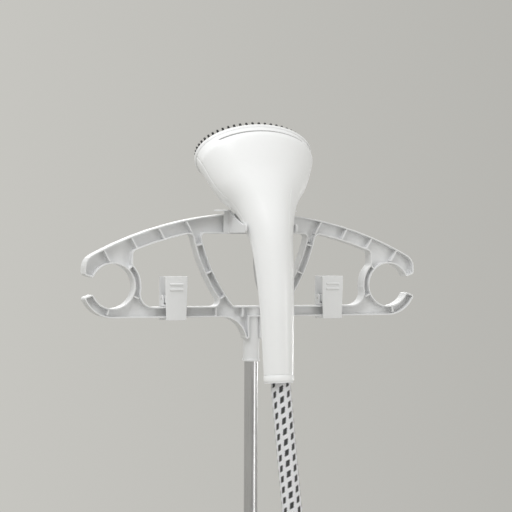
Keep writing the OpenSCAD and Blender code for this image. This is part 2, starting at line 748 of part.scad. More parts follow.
module clip_lever(s) color("white") at_clip(s) difference() {
    union() {
        translate([0, hanger_front - 0.5, 0]) rotate([90, 0, 0]) linear_extrude(clip_wall)
            polygon([[-clip_w / 2, clip_h + clip_low], [clip_w / 2, clip_h + clip_low],
                [clip_w / 2 - 1.5, clip_low], [-clip_w / 2 + 1.5, clip_low]]);
        for (x = [-clip_w / 2 + 2.6, clip_w / 2 - 4.6]) {
            translate([x, hanger_front - 1, clip_pin_z - 4]) cube([2, -hanger_front + 1, 8]);
            along_x(x + 1, 0, clip_pin_z, 4, 2);
        }
        for (z = [31, 37]) translate([-8, hanger_front - clip_wall - 1.7, z]) cube([16, 1.5, 2]);
        translate([-clip_w / 2, hanger_front - clip_wall - 0.5, clip_h + clip_low - 2])
            cube([clip_w, clip_wall + 2.5, 2]);
    }
    along_x(0, 0, clip_pin_z, clip_pin_r + pin_gap, clip_w + 10);
}

module clip_pin(s) color("silver") at_clip(s) along_x(0, 0, clip_pin_z, clip_pin_r, clip_w - 0.6);

module clip_spring(s) color("dimgray") at_clip(s) for (i = [-2:2])
    translate([i * 2.2 - 0.9, 0, clip_pin_z]) rotate([0, 90, 0]) pipe(0, 1.8, 3.4, clip_pin_r + 0.2);

module clip_left_body() clip_body(-1);
module clip_left_lever() clip_lever(-1);
module clip_left_pin() clip_pin(-1);
module clip_left_spring() clip_spring(-1);
module clip_right_body() clip_body(1);
module clip_right_lever() clip_lever(1);
module clip_right_pin() clip_pin(1);
module clip_right_spring() clip_spring(1);

// --- Steam head ---

// Smooth curve through the head's sections at t from 0 to 1, with a straight band at the rim
function blend4(a, b, c, d, t) =
    0.5 * (2 * b + (c - a) * t + (2 * a - 5 * b + 4 * c - d) * t * t + (3 * b - a - 3 * c + d) * t * t * t);

function head_section(t) =
    let (n = len(HEAD) - 1, s = min(t * n, n - 0.0001), i = floor(s))
    i == n - 1 ? HEAD[i] + (s - i) * (HEAD[n] - HEAD[i])
    : blend4(HEAD[max(i - 1, 0)], HEAD[i], HEAD[i + 1], HEAD[min(i + 2, n)], s - i);

// Point of the head at section t and angle a, inset by w; angle 90 is the user's side
function head_point(t, a, w) =
    let (s = head_section(t), b = (s[4] - w) * sin(a))
    [(s[3] - w) * cos(a), s[0] - b * cos(s[2]), s[1] + b * sin(s[2])];

// Half shell between two angles: outer skin, inner skin and the edges that close them
module half_shell(a0, a1) {
    n = HEAD_RINGS;
    m = HEAD_SIDES;
    w = m + 1;
    skin = (n + 1) * w;
    points = [for (d = [0, head_wall], i = [0:n], j = [0:m])
        head_point(i / n, a0 + (a1 - a0) * j / m, d)];
    outer = [for (i = [0:n - 1], j = [0:m - 1]) let (p = i * w + j) [p, p + w, p + w + 1, p + 1]];
    inner = [for (f = outer) [skin + f[3], skin + f[2], skin + f[1], skin + f[0]]];
    sides = [for (i = [0:n - 1]) each [
        [i * w, skin + i * w, skin + (i + 1) * w, (i + 1) * w],
        [i * w + m, (i + 1) * w + m, skin + (i + 1) * w + m, skin + i * w + m]]];
    ends = [for (j = [0:m - 1]) each [
        [j, j + 1, skin + j + 1, skin + j],
        [n * w + j, skin + n * w + j, skin + n * w + j + 1, n * w + j + 1]]];
    polyhedron(points, concat(outer, inner, sides, ends), convexity = 8);
}

module head_back_shell() color("white") at_hanger() half_shell(0, 180);

module head_front_shell() color("white") at_hanger() difference() {
    half_shell(180, 360);
    translate([-trigger_w / 2 - 0.8, -70, 24]) cube([trigger_w + 1.6, 60, 62.5]);
}

module handle_end_collar() color("gainsboro") at_hanger() translate([0, HEAD[0][0], HEAD[0][1]])
    rotate([-grip_tilt, 0, 0]) pipe(-collar_h, 0, grip_d / 2 + 0.3, grip_d / 2 - head_wall);

module hose_nipple() color("gray") at_hanger() translate([0, HOSE[0][1] - pole_back, HOSE[0][2] - hanger_z])
    rotate([-grip_tilt, 0, 0]) {
        translate([0, 0, slide_gap]) cylinder(h = 3, r = grip_d / 2 + 1.2 - head_wall);
        translate([0, 0, 3]) cylinder(h = norm(pipe_low - nipple_at) - 3, r = tube_r + 2);
    }

module steam_pipe() color("silver") at_hanger() {
    bar(yz(pipe_low), yz(pipe_mid), tube_r);
    bar(yz(pipe_up), yz(pipe_neck), tube_r);
    translate(yz(pipe_neck)) sphere(tube_r + 0.6);
    bar(yz(pipe_neck), yz([rim_y, rim_z] - (chamber_back + 1.7) * rim_normal), tube_r);
}

module steam_valve() color("gray") at_hanger() bar(yz(pipe_mid), yz(pipe_up), 9);

module steam_chamber() color("silver") at_rim() translate([0, 0, -chamber_back])
    linear_extrude(chamber_t) ellipse(rim_a - head_wall - 6, rim_b - head_wall - 6);

module plate_gasket() color("dimgray") at_rim() translate([0, 0, -5])
    linear_extrude(2) oval_ring(rim_a - head_wall - 2, rim_b - head_wall - 2, 6);

module steam_plate() color("silver") at_rim() translate([0, 0, -3]) difference() {
    linear_extrude(3) ellipse(rim_a - head_wall - 1.2, rim_b - head_wall - 1.2);
    for (i = [0:7]) translate([rim_a * 0.52 * cos(i * 45), rim_b * 0.5 * sin(i * 45), -1])
        cylinder(h = 6, r = 2);
    translate([0, 0, -1]) cylinder(h = 6, r = 2.5);
}

// Snap-on brush: a band round the rim with a face that carries the tufts
module brush_frame() color("white") at_rim() {
    difference() {
        translate([0, 0, -6]) linear_extrude(9.2) ellipse(rim_a + lip, rim_b + lip);
        translate([0, 0, -7]) linear_extrude(7.2) ellipse(rim_a + slide_gap, rim_b + slide_gap);
        translate([0, 0, -1]) linear_extrude(6) ellipse(rim_a - 7, rim_b - 7);
    }
}

module brush_bristles() color("black") at_rim() for (i = [0:tufts - 1]) let (a = i * 360 / tufts)
    translate([(rim_a - 2.6) * cos(a), (rim_b - 2.6) * sin(a), 3.2]) cylinder(h = 9, r = 1.5, $fn = 6);

module steam_trigger() color("white") at_hanger() difference() {
    union() {
        translate([-trigger_w / 2, 0, 0]) rotate([90, 0, 90]) linear_extrude(trigger_w)
            polygon([[-47, 88.5], [-42.5, 87], [-38.5, 83], [-33, 72], [-33.5, 58], [-39, 42], [-47, 32], [-54, 27.5],
                [-57, 29], [-54, 42], [-50.5, 62], [-50, 84]]);
        along_x(0, trigger_pivot[0], trigger_pivot[1], 4, trigger_w);
    }
    along_x(0, trigger_pivot[0], trigger_pivot[1], trigger_pin_r + pin_gap, trigger_w + 10);
    along_x(0, trigger_pivot[0], trigger_pivot[1], 4.6, 9);
}

module trigger_pin() color("silver") at_hanger()
    along_x(0, trigger_pivot[0], trigger_pivot[1], trigger_pin_r, trigger_w + 8);

module trigger_spring() color("silver") at_hanger() for (i = [-1:1])
    translate([i * 2.6 - 1, trigger_pivot[0], trigger_pivot[1]]) rotate([0, 90, 0])
        pipe(0, 2, 4, trigger_pin_r + 0.3);

base_lower_shell();
base_upper_shell();
base_screws();
rubber_feet();
wheel_left();
wheel_right();
wheel_axles();
pole_socket();
boiler();
heating_element();
thermostat();
pump();
water_tube();
steam_tube();
control_dial();
dial_switch();
power_button();
button_switch();
pilot_lens();
cord_gland();
hose_connector();
hose_boot();
steam_hose();
tank_body();
tank_valve();
tank_seal();
tank_cap();
cap_pin();
tank_handle();
lower_tube();
lock_collar();
lock_lever();
lock_pin();
upper_tube();
tube_bush();
hanger_frame();
clip_left_body();
clip_left_lever();
clip_left_pin();
clip_left_spring();
clip_right_body();
clip_right_lever();
clip_right_pin();
clip_right_spring();
head_back_shell();
head_front_shell();
handle_end_collar();
hose_nipple();
steam_valve();
steam_pipe();
steam_chamber();
plate_gasket();
steam_plate();
brush_frame();
brush_bristles();
steam_trigger();
trigger_pin();
trigger_spring();
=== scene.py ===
import math
import random

import bpy
from mathutils import Matrix, Vector


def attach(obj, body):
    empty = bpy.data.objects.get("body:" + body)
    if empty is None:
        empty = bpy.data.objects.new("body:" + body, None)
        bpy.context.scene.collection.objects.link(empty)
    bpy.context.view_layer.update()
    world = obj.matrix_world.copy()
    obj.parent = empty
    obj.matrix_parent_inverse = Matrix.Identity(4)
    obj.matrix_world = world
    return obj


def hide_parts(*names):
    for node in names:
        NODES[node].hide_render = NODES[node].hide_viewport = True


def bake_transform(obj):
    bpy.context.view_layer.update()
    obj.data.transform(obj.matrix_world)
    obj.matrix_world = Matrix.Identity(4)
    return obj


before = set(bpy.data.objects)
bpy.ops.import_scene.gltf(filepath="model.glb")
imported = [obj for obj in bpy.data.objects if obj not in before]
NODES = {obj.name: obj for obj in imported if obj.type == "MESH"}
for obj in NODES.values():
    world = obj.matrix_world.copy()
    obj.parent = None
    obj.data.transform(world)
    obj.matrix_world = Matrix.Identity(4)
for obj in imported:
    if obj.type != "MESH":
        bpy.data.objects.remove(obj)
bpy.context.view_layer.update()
MM = 0.001

# --- Camera ---
CAM_AZIMUTH = math.radians(-22.1)
CAM_ELEVATION = math.radians(0.5)
CAM_ROLL = math.radians(0.21)
CAM_DISTANCE = 2.208
CAM_TARGET = Vector((0.0057, 0.060, 1.4003))
CAM_LENS = 133.17
SENSOR = 36.0


def make_camera():
    a, e = CAM_AZIMUTH, CAM_ELEVATION
    ahead = Vector((-math.sin(a) * math.cos(e), math.cos(a) * math.cos(e), -math.sin(e)))
    side = Vector((math.cos(a), math.sin(a), 0))
    up = side.cross(ahead)
    c, s = math.cos(CAM_ROLL), math.sin(CAM_ROLL)
    right, top = side * c + up * s, up * c - side * s
    data = bpy.data.cameras.new("camera")
    data.lens, data.sensor_width = CAM_LENS, SENSOR
    data.clip_end = 50
    cam = bpy.data.objects.new("camera", data)
    matrix = Matrix((right, top, -ahead)).transposed().to_4x4()
    matrix.translation = CAM_TARGET - ahead * CAM_DISTANCE
    cam.matrix_world = matrix
    bpy.context.scene.collection.objects.link(cam)
    bpy.context.scene.camera = cam


make_camera()
bpy.context.scene.view_settings.view_transform = "Standard"


# --- Mesh helpers ---
def mesh_piece(name, verts, faces, body, material, uvs=None, sharp=40):
    """A mesh piece in millimetres that rides on a body."""
    data = bpy.data.meshes.new(name)
    data.from_pydata([Vector(v) * MM for v in verts], [], faces)
    data.validate()
    data.shade_smooth()
    if sharp:
        data.set_sharp_from_angle(angle=math.radians(sharp))
    if uvs:
        layer = data.uv_layers.new(name="UVMap")
        for loop in data.loops:
            layer.data[loop.index].uv = uvs[loop.vertex_index]
    data.materials.append(material)
    obj = bpy.data.objects.new(name, data)
    bpy.context.scene.collection.objects.link(obj)
    if body:
        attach(obj, body)
    return obj


def lathe(profile, centre, sides=96):
    """Vertices and faces of a closed profile [(radius, height)...] turned about Z."""
    verts, faces = [], []
    n = len(profile)
    for k in range(sides):
        a = 2 * math.pi * k / sides
        for r, z in profile:
            verts.append((centre[0] + r * math.cos(a), centre[1] + r * math.sin(a), centre[2] + z))
    for k in range(sides):
        for i in range(n):
            j, l = (i + 1) % n, (k + 1) % sides
            faces.append((k * n + i, l * n + i, l * n + j, k * n + j))
    return verts, faces


def catmull(points, t):
    """Point on the Catmull-Rom curve through the points at t, in whole steps per span."""
    i = min(int(t), len(points) - 2)
    f = t - i
    a, b = points[max(i - 1, 0)], points[i]
    c, d = points[i + 1], points[min(i + 2, len(points) - 1)]
    return [
        0.5 * (2 * q + (r - p) * f + (2 * p - 5 * q + 4 * r - s) * f * f
               + (3 * q - p - 3 * r + s) * f**3)
        for p, q, r, s in zip(a, b, c, d)
    ]


# --- Node material helpers ---
RANGE_ENDS = ("From Min", "From Max", "To Min", "To Max")
CLOUD_SCALE, SPECK_SCALE, GLOSS_SCALE = 9, 170, 38


class Shader:
    """A material's node tree with short calls for what the materials here share."""

    def __init__(self, name, colour, rough, metallic=0.0, **sockets):
        self.material = bpy.data.materials.new(name)
        self.material.use_nodes = True
        self.tree = self.material.node_tree
        self.bsdf = self.tree.nodes["Principled BSDF"]
        self.bsdf.inputs["Base Color"].default_value = (*colour, 1)
        self.bsdf.inputs["Roughness"].default_value = rough
        self.bsdf.inputs["Metallic"].default_value = metallic
        for key, value in sockets.items():
            self.bsdf.inputs[key.replace("_", " ")].default_value = value

    def node(self, kind, **values):
        node = self.tree.nodes.new("ShaderNode" + kind)
        for key, value in values.items():
            setattr(node, key, value)
        return node

    def link(self, source, target):
        if isinstance(source, bpy.types.NodeSocket):
            self.tree.links.new(source, target)
        else:
            target.default_value = source

    def math(self, operation, a, b=0.0):
        node = self.node("Math", operation=operation)
        for socket, value in zip(node.inputs, (a, b)):
            self.link(value, socket)
        return node.outputs[0]

    def wave(self, value, cycles=1):
        """Rectified sine of the value, which is 0 at every whole step of value x cycles."""
        turned = self.math("MULTIPLY", value, cycles * math.pi)
        return self.math("ABSOLUTE", self.math("SINE", turned))

    def coords(self, scale=(1, 1, 1), uv=False):
        source = self.node("TexCoord").outputs["UV" if uv else "Object"]
        mapping = self.node("Mapping")
        mapping.inputs["Scale"].default_value = scale
        self.link(source, mapping.inputs["Vector"])
        return mapping.outputs[0]

    def noise(self, scale, detail=3.0, stretch=(1, 1, 1), rough=0.5):
        node = self.node("TexNoise")
        node.inputs["Scale"].default_value = scale
        node.inputs["Detail"].default_value = detail
        node.inputs["Roughness"].default_value = rough
        self.link(self.coords(stretch), node.inputs["Vector"])
        return node.outputs["Fac"]

    def spread(self, value, low, high, start=0.3, stop=0.7):
        node = self.node("MapRange")
        self.link(value, node.inputs["Value"])
        for key, number in zip(RANGE_ENDS, (start, stop, low, high)):
            node.inputs[key].default_value = number
        return node.outputs[0]

    def mix(self, factor, first, second):
        node = self.node("Mix", data_type="RGBA")
        self.link(factor, node.inputs[0])
        for socket, value in ((node.inputs[6], first), (node.inputs[7], second)):
            self.link((*value, 1) if isinstance(value, tuple) else value, socket)
        return node.outputs[2]

    def paint(self, value):
        self.link(value, self.bsdf.inputs["Base Color"])

    def roughen(self, value):
        self.link(value, self.bsdf.inputs["Roughness"])

    def bump(self, height, strength, distance=0.0004):
        node = self.node("Bump")
        node.inputs["Strength"].default_value = strength
        node.inputs["Distance"].default_value = distance
        self.link(height, node.inputs["Height"])
        self.link(node.outputs[0], self.bsdf.inputs["Normal"])


def shade(colour, factor):
    return tuple(min(1.0, c * factor) for c in colour)


def plastic(name, colour, rough=0.32, grain=900, relief=0.05, cloud=0.05, **sockets):
    """Moulded plastic: fine surface grain, slow colour clouding and patchy gloss."""
    s = Shader(name, colour, rough, **sockets)
    cloudy = s.noise(CLOUD_SCALE, 4)
    speck = s.noise(SPECK_SCALE, 3)
    toned = s.mix(s.spread(cloudy, 0, 1), shade(colour, 1 - cloud), shade(colour, 1 + cloud * 0.4))
    s.paint(s.mix(s.spread(speck, 0, 0.35, 0.55, 0.8), toned, shade(colour, 1 - cloud * 1.6)))
    s.roughen(s.spread(s.noise(GLOSS_SCALE, 5), rough * 0.82, rough * 1.25))
    s.bump(s.noise(grain, 2), relief)
    return s.material


def metal(name, colour, rough, stretch=(1, 1, 1), scale=260, relief=0.06, spread=0.10):
    """Metal with a drawn, brushed or cast surface, by how the grain is stretched."""
    s = Shader(name, colour, rough, 1.0)
    grain = s.noise(scale, 5, stretch, 0.65)
    cloudy = s.noise(14, 3)
    toned = s.mix(s.spread(grain, 0, 1), shade(colour, 1 - spread), shade(colour, 1 + spread))
    s.paint(s.mix(s.spread(cloudy, 0, 0.4), toned, shade(colour, 0.86)))
    s.roughen(s.spread(grain, rough * 0.75, rough * 1.35))
    s.bump(grain, relief, 0.0003)
    return s.material


def rubber(name, colour, rough=0.75):
    s = Shader(name, colour, rough)
    dust = s.noise(30, 6)
    s.paint(s.mix(s.spread(dust, 0, 1, 0.4, 0.75), colour, shade(colour, 1.7)))
    s.roughen(s.spread(s.noise(90, 4), rough * 0.85, min(1, rough * 1.2)))
    s.bump(s.noise(600, 3), 0.25)
    return s.material


WHITE = plastic("white_plastic", (0.86, 0.86, 0.85), 0.30, Coat_Weight=0.12, Coat_Roughness=0.2)
HEAD_WHITE = plastic(
    "head_white", (0.93, 0.935, 0.945), 0.46, 1100, 0.03, 0.02, Coat_Weight=0.3, Coat_Roughness=0.12
)
HANGER_WHITE = plastic("hanger_white", (0.81, 0.815, 0.825), 0.40, 700, 0.08, 0.04)
CLIP_WHITE = plastic("clip_white", (0.83, 0.835, 0.845), 0.36, 800, 0.06, 0.04)
GREY = plastic("grey_plastic", (0.46, 0.46, 0.46), 0.40, 800, 0.09, 0.07)
DARK = plastic("dark_plastic", (0.045, 0.046, 0.05), 0.45, 700, 0.14, 0.2)
STEEL = metal("steel", (0.62, 0.62, 0.61), 0.28)
DARK_STEEL = metal("dark_steel", (0.20, 0.20, 0.21), 0.38)
TUBE = metal("brushed_tube", (0.60, 0.60, 0.605), 0.30, (90, 90, 1.2), 11, 0.02, 0.05)
CAST = metal("cast_aluminium", (0.66, 0.66, 0.67), 0.42, (1, 1, 1), 420, 0.35)
PLATE = metal("steam_steel", (0.70, 0.70, 0.71), 0.18, (2, 60, 60), 9, 0.05)
RUBBER = rubber("rubber", (0.035, 0.035, 0.037))
GREY_RUBBER = rubber("grey_rubber", (0.20, 0.20, 0.20), 0.62)
SILICONE = rubber("silicone", (0.30, 0.31, 0.32), 0.5)
WHEEL = rubber("wheel_rubber", (0.10, 0.10, 0.105), 0.6)
BRISTLE = rubber("bristle", (0.012, 0.012, 0.013), 0.42)
LENS = plastic(
    "lens", (0.85, 0.30, 0.05), 0.14, 500, 0.02, 0.05, Transmission_Weight=0.45, IOR=1.49
)


def tank_material():
    s = Shader("tank_plastic", (0.62, 0.70, 0.76), 0.10, Transmission_Weight=0.82, IOR=1.45)
    s.paint(s.mix(s.spread(s.noise(7, 3), 0, 1), (0.56, 0.65, 0.72), (0.68, 0.75, 0.80)))
    s.roughen(s.spread(s.noise(55, 4), 0.07, 0.17))
    s.bump(s.noise(26, 2), 0.03)
    return s.material


TANK = tank_material()

# --- Hose: the route of part.scad, in millimetres ---
HOSE = [
    (0, -18, 1328), (0.5, -20.5, 1300), (1.2, -22.7, 1275), (2.2, -24.8, 1252), (5, -28, 1212),
    (9, -31, 1160), (14, -33.5, 1105), (20, -35, 1050), (28, -35, 995), (39, -33, 940),
    (53, -28, 885), (69, -20, 830), (87, -9, 775), (105, 4, 722), (122, 18, 668), (136, 32, 614),
    (146, 44, 560), (151, 54, 505), (151, 62, 450), (145, 67, 400), (134, 69, 355), (119, 68, 317),
    (104, 66, 289), (92, 63.5, 264), (85, 62, 240),
]
HOSE_R = 11.2
RELIEF = 0.28
STRANDS = 24
STRAND_PITCH = 3.0
FLECK_COLUMNS = 8
FLECK_PITCH = 11.8
FLECK_WIDTH = 2 * math.pi * HOSE_R / FLECK_COLUMNS
# Strokes of one fleck: middle, slant, and the half lengths and half widths where each fades
STROKES = ((-0.35, -2.35), (0, 0), (0.35, 2.35))
STROKE_SLANT = math.radians(27)
STROKE_LONG = (2.4, 2.8)
STROKE_WIDE = (0.88, 1.06)
THREADS = 5
# Yarn colours: the gap colour is painted shade between strands; the shaded yarn is painted shade
# between threads and also a random fuzz tone
YARN, YARN_SHADE_AND_FUZZ, YARN_GAP_SHADE = (0.97, 0.97, 1.0), (0.80, 0.80, 0.83), (0.40, 0.40, 0.43)
FLECK_DARK, FLECK_LIGHT = (0.010, 0.010, 0.011), (0.045, 0.045, 0.047)
HOSE_SIDES = 96
HOSE_STEP = 0.95
HOSE_LEAN = math.radians(5)


def walk(points, step):
    """Evenly spaced points along the smooth curve, and its length."""
    fine = [Vector(catmull(points, i / 40)) for i in range(40 * (len(points) - 1) + 1)]
    run = [0.0]
    for a, b in zip(fine, fine[1:]):
        run.append(run[-1] + (b - a).length)
    count = round(run[-1] / step)
    out, j = [], 0
    for k in range(count + 1):
        want = run[-1] * k / count
        while j < len(run) - 2 and run[j + 1] < want:
            j += 1
        part = (want - run[j]) / (run[j + 1] - run[j])
        out.append(fine[j].lerp(fine[j + 1], part))
    return out, run[-1]


def braid_material():
    """White woven cover with dark flecks in staggered columns, drawn from the hose's own UV map:
    U counts columns round the hose and V counts fleck pitches along it."""
    s = Shader("braid", (0.86, 0.86, 0.88), 0.62, Sheen_Weight=0.1, Sheen_Roughness=0.5)
    split = s.node("SeparateXYZ")
    s.link(s.coords(uv=True), split.inputs[0])
    u, v = split.outputs[0], split.outputs[1]
    column = s.math("FLOOR", u)
    odd = s.math("MODULO", column, 2.0)
    x = s.math("MULTIPLY", s.math("SUBTRACT", s.math("FRACT", u), 0.5), FLECK_WIDTH)
    shifted = s.math("ADD", v, s.math("MULTIPLY", odd, 0.5))
    y = s.math("MULTIPLY", s.math("SUBTRACT", s.math("FRACT", shifted), 0.5), FLECK_PITCH)
    cos, sin = math.cos(STROKE_SLANT), math.sin(STROKE_SLANT)
    dark = None
    for x0, y0 in STROKES:
        dx, dy = s.math("SUBTRACT", x, x0), s.math("SUBTRACT", y, y0)
        along = s.math("ADD", s.math("MULTIPLY", dx, cos), s.math("MULTIPLY", dy, sin))
        across = s.math("SUBTRACT", s.math("MULTIPLY", dy, cos), s.math("MULTIPLY", dx, sin))
        inside = s.math(
            "MULTIPLY",
            s.spread(s.math("ABSOLUTE", along), 1, 0, *STROKE_LONG),
            s.spread(s.math("ABSOLUTE", across), 1, 0, *STROKE_WIDE),
        )
        dark = inside if dark is None else s.math("MAXIMUM", dark, inside)
    turns = STRANDS / FLECK_COLUMNS
    rises = FLECK_PITCH / STRAND_PITCH
    one = s.math("ADD", s.math("MULTIPLY", u, turns), s.math("MULTIPLY", v, rises))
    two = s.math("SUBTRACT", s.math("MULTIPLY", u, turns), s.math("MULTIPLY", v, rises))
    ridge = s.math("MAXIMUM", s.wave(one), s.wave(two))
    lattice = s.math("MINIMUM", s.wave(one), s.wave(two))
    thread = s.wave(one, THREADS)
    fuzz = s.noise(700, 4)
    # Painted shade in the weave: dark in the gaps between strands, dimmer in the valleys between
    # threads, then a random fuzz tone
    yarn = s.mix(s.spread(lattice, 0, 1, 0.02, 0.32), YARN_GAP_SHADE, YARN)
    yarn = s.mix(s.spread(thread, 0.25, 0, 0.0, 0.6), yarn, YARN_SHADE_AND_FUZZ)
    yarn = s.mix(s.spread(fuzz, 0, 0.2), yarn, YARN_SHADE_AND_FUZZ)
    s.paint(s.mix(dark, yarn, s.mix(s.spread(fuzz, 0, 1), FLECK_DARK, FLECK_LIGHT)))
    s.roughen(s.spread(fuzz, 0.55, 0.8))
    s.bump(s.math("ADD", s.math("MULTIPLY", thread, 0.35), s.math("ADD", ridge, fuzz)), 0.5, 0.0003)
    return s.material


def make_hose():
    rings, length = walk(HOSE, HOSE_STEP)
    verts, uvs, faces = [], [], []
    first = Vector((0, -math.sin(HOSE_LEAN), -math.cos(HOSE_LEAN)))
    side = Vector((1, 0, 0))
    m = HOSE_SIDES
    for i, p in enumerate(rings):
        a, b = rings[max(i - 1, 0)], rings[min(i + 1, len(rings) - 1)]
        ahead = first if i == 0 else (b - a).normalized()
        side = (side - ahead * side.dot(ahead)).normalized()
        up = ahead.cross(side)
        run = length * i / (len(rings) - 1)
        for k in range(m):
            turn = k / m
            one = abs(math.sin(math.pi * (STRANDS * turn + run / STRAND_PITCH)))
            two = abs(math.sin(math.pi * (STRANDS * turn - run / STRAND_PITCH)))
            r = HOSE_R - RELIEF + RELIEF * 2 * (max(one, two) - 0.5)
            angle = 2 * math.pi * turn
            verts.append(p + side * r * math.cos(angle) + up * r * math.sin(angle))
            uvs.append((FLECK_COLUMNS * turn, run / FLECK_PITCH))
    for i in range(len(rings) - 1):
        for k in range(m):
            l = (k + 1) % m
            faces.append((i * m + k, i * m + l, (i + 1) * m + l, (i + 1) * m + k))
    last = (len(rings) - 1) * m
    faces.append(tuple(range(m - 1, -1, -1)))
    faces.append(tuple(range(last, last + m)))
    hose = mesh_piece("hose_braid", verts, faces, None, braid_material(), uvs, sharp=None)
    # The faces that close the ring carry U past its last column, so no fleck is stretched there
    layer = hose.data.uv_layers[0].data
    for face in hose.data.polygons:
        if len(face.loop_indices) == 4:
            us = [layer[i].uv[0] for i in face.loop_indices]
            if max(us) - min(us) > FLECK_COLUMNS / 2:
                for i in face.loop_indices:
                    if layer[i].uv[0] < FLECK_COLUMNS / 2:
                        layer[i].uv[0] += FLECK_COLUMNS
    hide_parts("steam_hose")
    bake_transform(hose)


make_hose()

# --- Steam head: the sections of part.scad, in millimetres ---
POLE_Y = 60
HANGER_Z = 1330
TILT = 54
RIM_A, RIM_B = 71.0, 42.5
RIM = (-6.0, 185.0)
GRIP_R = 17
BAND = 14
SIN_T, COS_T = math.sin(math.radians(TILT)), math.cos(math.radians(TILT))
HEAD = [
    (-83.2, -62.5, 5, GRIP_R, GRIP_R),
    (-77, 12, 7, GRIP_R + 2.5, GRIP_R + 2.5),
    (-69, 60, 10, GRIP_R + 5, GRIP_R + 5),
    (-59, 94, 16, GRIP_R + 8.5, GRIP_R + 8.5),
    (-43.5, 126, 28, RIM_A * 0.52, RIM_B * 0.7),
    (-30, 149, 42, RIM_A * 0.78, RIM_B * 0.84),
    (RIM[0] - BAND * SIN_T, RIM[1] - BAND * COS_T, TILT, RIM_A - 2, RIM_B - 1),
    (RIM[0], RIM[1], TILT, RIM_A, RIM_B),
]


def head_section(t):
    n = len(HEAD) - 1
    t = min(max(t * n, 0), n - 1e-4)
    i = int(t)
    if i == n - 1:
        return [a + (t - i) * (b - a) for a, b in zip(HEAD[i], HEAD[n])]
    return catmull(HEAD, t)


def head_point(t, angle, inset):
    y, z, tilt, a, b = head_section(t)
    tilt = math.radians(tilt)
    reach = (b - inset) * math.sin(angle)
    return (
        (a - inset) * math.cos(angle),
        POLE_Y + y - reach * math.cos(tilt),
        HANGER_Z + z + reach * math.sin(tilt),
    )


def dip(value, centre, width):
    """1 at the middle of a groove of that width, falling smoothly to 0 at its edges."""
    d = abs(value - centre) / (width / 2)
    return 0.0 if d >= 1 else 0.5 + 0.5 * math.cos(math.pi * d)


GROOVE_T, GROOVE_W, GROOVE_DEPTH = 0.921, 0.026, 1.7
GROOVE_HALF, GROOVE_FADE = 50, 5
PARTING_W, PARTING_DEPTH = 5, 0.5
LINE_ANGLE, LINE_W, LINE_DEPTH, LINE_END = 56, 3.2, 0.45, 0.62
SKIN = 2
# Trigger window in the front skin: half width, bottom and top over the hanger, reach from the pole
WINDOW_HALF, WINDOW_LOW, WINDOW_HIGH, WINDOW_REACH = 12.9, 22, 89, 68


def head_inset(t, angle):
    """Depth of the grooves moulded in the head's skin."""
    degrees = math.degrees(angle)
    inset = 0.0
    edge = min(abs(degrees), abs(degrees - 180), abs(degrees - 360))
    inset += PARTING_DEPTH * dip(edge, 0, PARTING_W)
    span = min(1.0, max(0.0, (GROOVE_HALF - abs(degrees - 90)) / GROOVE_FADE))
    inset += GROOVE_DEPTH * span * min(1, 2.2 * dip(t, GROOVE_T, GROOVE_W))
    if t < LINE_END:
        inset += LINE_DEPTH * dip(degrees, LINE_ANGLE, LINE_W)
    return inset


def steps(low, high, count, marks):
    """Even values from low to high, with more round each marked value."""
    values = {round(low + (high - low) * i / count, 6) for i in range(count + 1)}
    for centre, width in marks:
        for k in range(-6, 7):
            v = centre + width * k / 12
            if low < v < high:
                values.add(round(v, 6))
    return sorted(values)


def in_window(point):
    x, y, z = point
    return (abs(x) < WINDOW_HALF and y > POLE_Y - WINDOW_REACH
            and WINDOW_LOW < z - HANGER_Z < WINDOW_HIGH)


def paint_groove_shade(piece, ts, angles):
    """Gives the groove's floor on the user's side the grey material as painted shade, darker than
    the shade the groove casts itself.
    """
    piece.data.materials.append(GREY)
    w, skin = len(angles), len(ts) * len(angles)
    for face in piece.data.polygons:
        spots = [i for i in face.vertices if i < skin]
        if len(spots) == 4:
            t = sum(ts[i // w] for i in spots) / 4
            a = math.degrees(sum(angles[i % w] for i in spots) / 4)
            # Painted shade: the grey floor stands in for the shadow deep in the groove
            if abs(t - GROOVE_T) < GROOVE_W * 0.34 and abs(a - 90) < GROOVE_HALF - 1:
                face.material_index = 1


def make_head_skin(name, node, start, stop):
    """Half of the head's shell as an outer skin with grooves and a plain inner one."""
    ts = steps(0, 1, 110, [(GROOVE_T, GROOVE_W * 1.1)])
    marks = [(start, 6), (stop, 6)] + ([(LINE_ANGLE, 4)] if start == 0 else [])
    angles = [math.radians(a) for a in steps(start, stop, 60, marks)]
    n, w = len(ts), len(angles)
    verts = []
    for depth in (0, SKIN):
        for t in ts:
            for a in angles:
                verts.append(head_point(t, a, depth or head_inset(t, a)))
    skin = n * w
    faces = []
    cut = []
    for i in range(n - 1):
        for j in range(w - 1):
            p = i * w + j
            if node == "head_front_shell" and in_window(verts[p]):
                cut.append((i, j))
                continue
            faces.append((p, p + w, p + w + 1, p + 1))
            faces.append((skin + p + 1, skin + p + w + 1, skin + p + w, skin + p))
    # Side walls of the window
    gone = set(cut)
    for i, j in cut:
        p = i * w + j
        for (di, dj), (a, b) in (((-1, 0), (p, p + 1)), ((1, 0), (p + w + 1, p + w)),
                                 ((0, -1), (p + w, p)), ((0, 1), (p + 1, p + w + 1))):
            if (i + di, j + dj) not in gone:
                faces.append((a, skin + a, skin + b, b))
    for i in range(n - 1):
        p, q = i * w, (i + 1) * w
        faces.append((p, skin + p, skin + q, q))
        p, q = p + w - 1, q + w - 1
        faces.append((q, skin + q, skin + p, p))
    for j in range(w - 1):
        faces.append((j + 1, skin + j + 1, skin + j, j))
        p = (n - 1) * w + j
        faces.append((p, skin + p, skin + p + 1, p + 1))
    piece = mesh_piece(name, verts, faces, "head", HEAD_WHITE, sharp=50)
    if start == 0:
        paint_groove_shade(piece, ts, angles)
    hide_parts(node)


